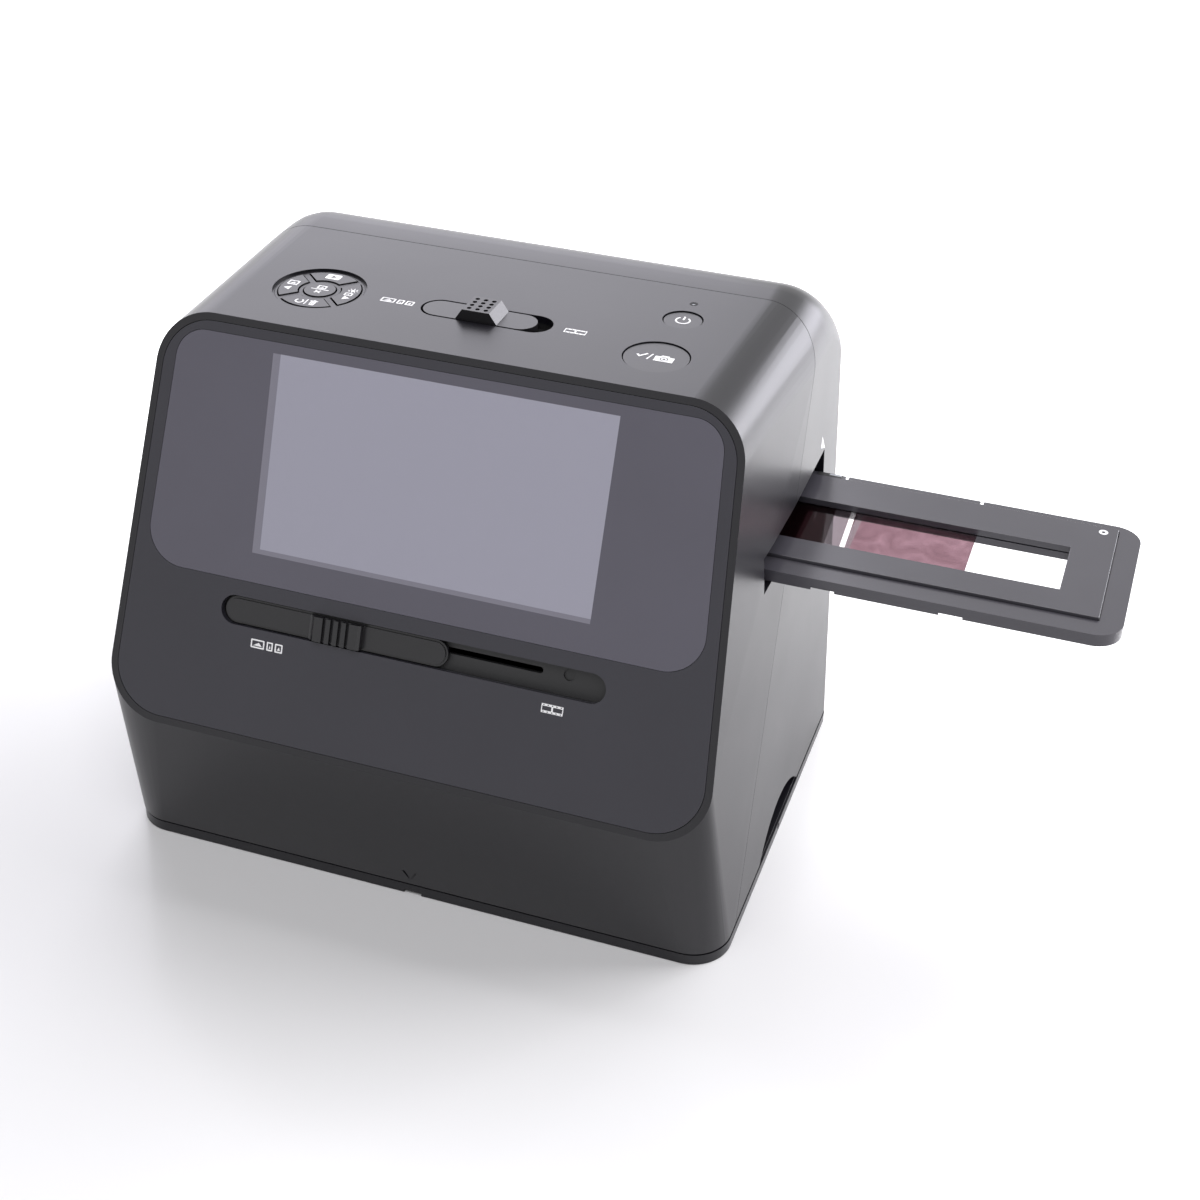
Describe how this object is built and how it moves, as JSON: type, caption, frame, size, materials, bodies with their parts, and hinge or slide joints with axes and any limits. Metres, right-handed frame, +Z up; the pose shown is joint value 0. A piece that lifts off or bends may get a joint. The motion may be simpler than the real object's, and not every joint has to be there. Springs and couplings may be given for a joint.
{
  "type": "film negative scanner",
  "caption": "Desk scanner with a leaning screen front, keys and a slider on top, a film holder sliding through its sides and a print tray under it.",
  "frame": {"origin": "middle of the footprint, on the surface that the tray stands on", "axes": "+X to the right as seen from the front, the way the film holder stands out; +Y to the back; +Z up"},
  "size_m": [0.3072, 0.1566, 0.182],
  "materials": {
    "cover_plastic": "fine matte texture",
    "panel_plastic": "fine matte texture, slightly smoother than the covers",
    "rubber_foot": "soft matte",
    "inner_plastic": "plain moulded black",
    "slider_plastic": "smooth matte",
    "key_plastic": "smooth matte with white printed symbols",
    "window_gloss": "smoky clear sheet, glossy",
    "screen_glass": "blank screen seen through the window",
    "sheet_steel": "plain sheet metal",
    "screw_steel": "turned steel",
    "white_plastic": "white moulded plastic",
    "diffuser": "milky light panel",
    "circuit_board": "green lacquered board",
    "chip": "dark sensor window",
    "lens": "clear polished",
    "light_pipe": "clear light pipe",
    "holder_plastic": "semi-gloss black",
    "film": "developed colour negative"
  },
  "bodies": {
    "photo_tray": {"photo_tray": "cover_plastic", "tray_feet": "rubber_foot"},
    "housing": {"front_cover": "cover_plastic", "rear_cover": "cover_plastic", "key_bezel": "cover_plastic", "front_panel": "panel_plastic", "base_frame": "inner_plastic", "front_slider_track": "inner_plastic", "film_guide": "inner_plastic", "optics_frame": "inner_plastic", "top_slider_track": "inner_plastic", "rod_bracket_left": "inner_plastic", "rod_bracket_right": "inner_plastic", "lens_barrel": "inner_plastic", "screen_window": "window_gloss", "lcd_panel": "screen_glass", "lcd_frame": "sheet_steel", "usb_socket": "sheet_steel", "hdmi_socket": "sheet_steel", "card_socket": "sheet_steel", "key_switches": "sheet_steel", "cover_screws": "screw_steel", "guide_screws": "screw_steel", "board_screws": "screw_steel", "guide_rods": "screw_steel", "click_plunger": "screw_steel", "photo_light_left": "white_plastic", "photo_light_right": "white_plastic", "sensor_ribbon": "white_plastic", "sensor_board": "circuit_board", "pad_board": "circuit_board", "shutter_board": "circuit_board", "main_board": "circuit_board", "image_sensor": "chip", "lens_glass": "lens", "status_light": "light_pipe"},
    "front_slider": {"front_slider": "slider_plastic", "slider_arm": "inner_plastic", "backlight_carriage": "white_plastic", "backlight_board": "circuit_board", "backlight_diffuser": "diffuser"},
    "top_slider": {"top_slider": "slider_plastic", "focus_pin": "screw_steel"},
    "focus_ring": {"focus_ring": "inner_plastic"},
    "key_up": {"key_up": "key_plastic"},
    "key_down": {"key_down": "key_plastic"},
    "key_left": {"key_left": "key_plastic"},
    "key_right": {"key_right": "key_plastic"},
    "key_centre": {"key_centre": "key_plastic"},
    "power_key": {"power_key": "key_plastic"},
    "shutter_key": {"shutter_key": "key_plastic"},
    "film_holder": {"holder_base": "holder_plastic", "holder_lid": "holder_plastic", "film_strip": "film"}
  },
  "joints": [
    {"name": "housing_lift", "type": "slide", "parent": "photo_tray", "child": "housing", "axis": [0, 0, 1], "range_m": [0, 0.06]},
    {"name": "front_slide", "type": "slide", "parent": "housing", "child": "front_slider", "axis": [1, 0, 0], "range_m": [0, 0.0495]},
    {"name": "top_slide", "type": "slide", "parent": "housing", "child": "top_slider", "axis": [1, 0, 0], "range_m": [0, 0.0042]},
    {"name": "focus_turn", "type": "hinge", "parent": "housing", "child": "focus_ring", "pos_m": [0, 0.01375, 0.153], "axis": [0, 0, 1], "range_deg": [-0.5, 12.5]},
    {"name": "key_up_press", "type": "slide", "parent": "housing", "child": "key_up", "axis": [0, 0, -1], "range_m": [0, 0.0008], "stiffness_N_per_m": 300, "springref_m": -0.001},
    {"name": "key_down_press", "type": "slide", "parent": "housing", "child": "key_down", "axis": [0, 0, -1], "range_m": [0, 0.0008], "stiffness_N_per_m": 300, "springref_m": -0.001},
    {"name": "key_left_press", "type": "slide", "parent": "housing", "child": "key_left", "axis": [0, 0, -1], "range_m": [0, 0.0008], "stiffness_N_per_m": 300, "springref_m": -0.001},
    {"name": "key_right_press", "type": "slide", "parent": "housing", "child": "key_right", "axis": [0, 0, -1], "range_m": [0, 0.0008], "stiffness_N_per_m": 300, "springref_m": -0.001},
    {"name": "key_centre_press", "type": "slide", "parent": "housing", "child": "key_centre", "axis": [0, 0, -1], "range_m": [0, 0.0008], "stiffness_N_per_m": 300, "springref_m": -0.001},
    {"name": "power_key_press", "type": "slide", "parent": "housing", "child": "power_key", "axis": [0, 0, -1], "range_m": [0, 0.0008], "stiffness_N_per_m": 300, "springref_m": -0.001},
    {"name": "shutter_key_press", "type": "slide", "parent": "housing", "child": "shutter_key", "axis": [0, 0, -1], "range_m": [0, 0.0008], "stiffness_N_per_m": 300, "springref_m": -0.001},
    {"name": "holder_slide", "type": "slide", "parent": "housing", "child": "film_holder", "axis": [1, 0, 0], "range_m": [-0.105, 0.125]}
  ],
  "couplings": [
    {"joint": "focus_turn", "follows": "top_slide", "rad_per_m": 48.9}
  ]
}
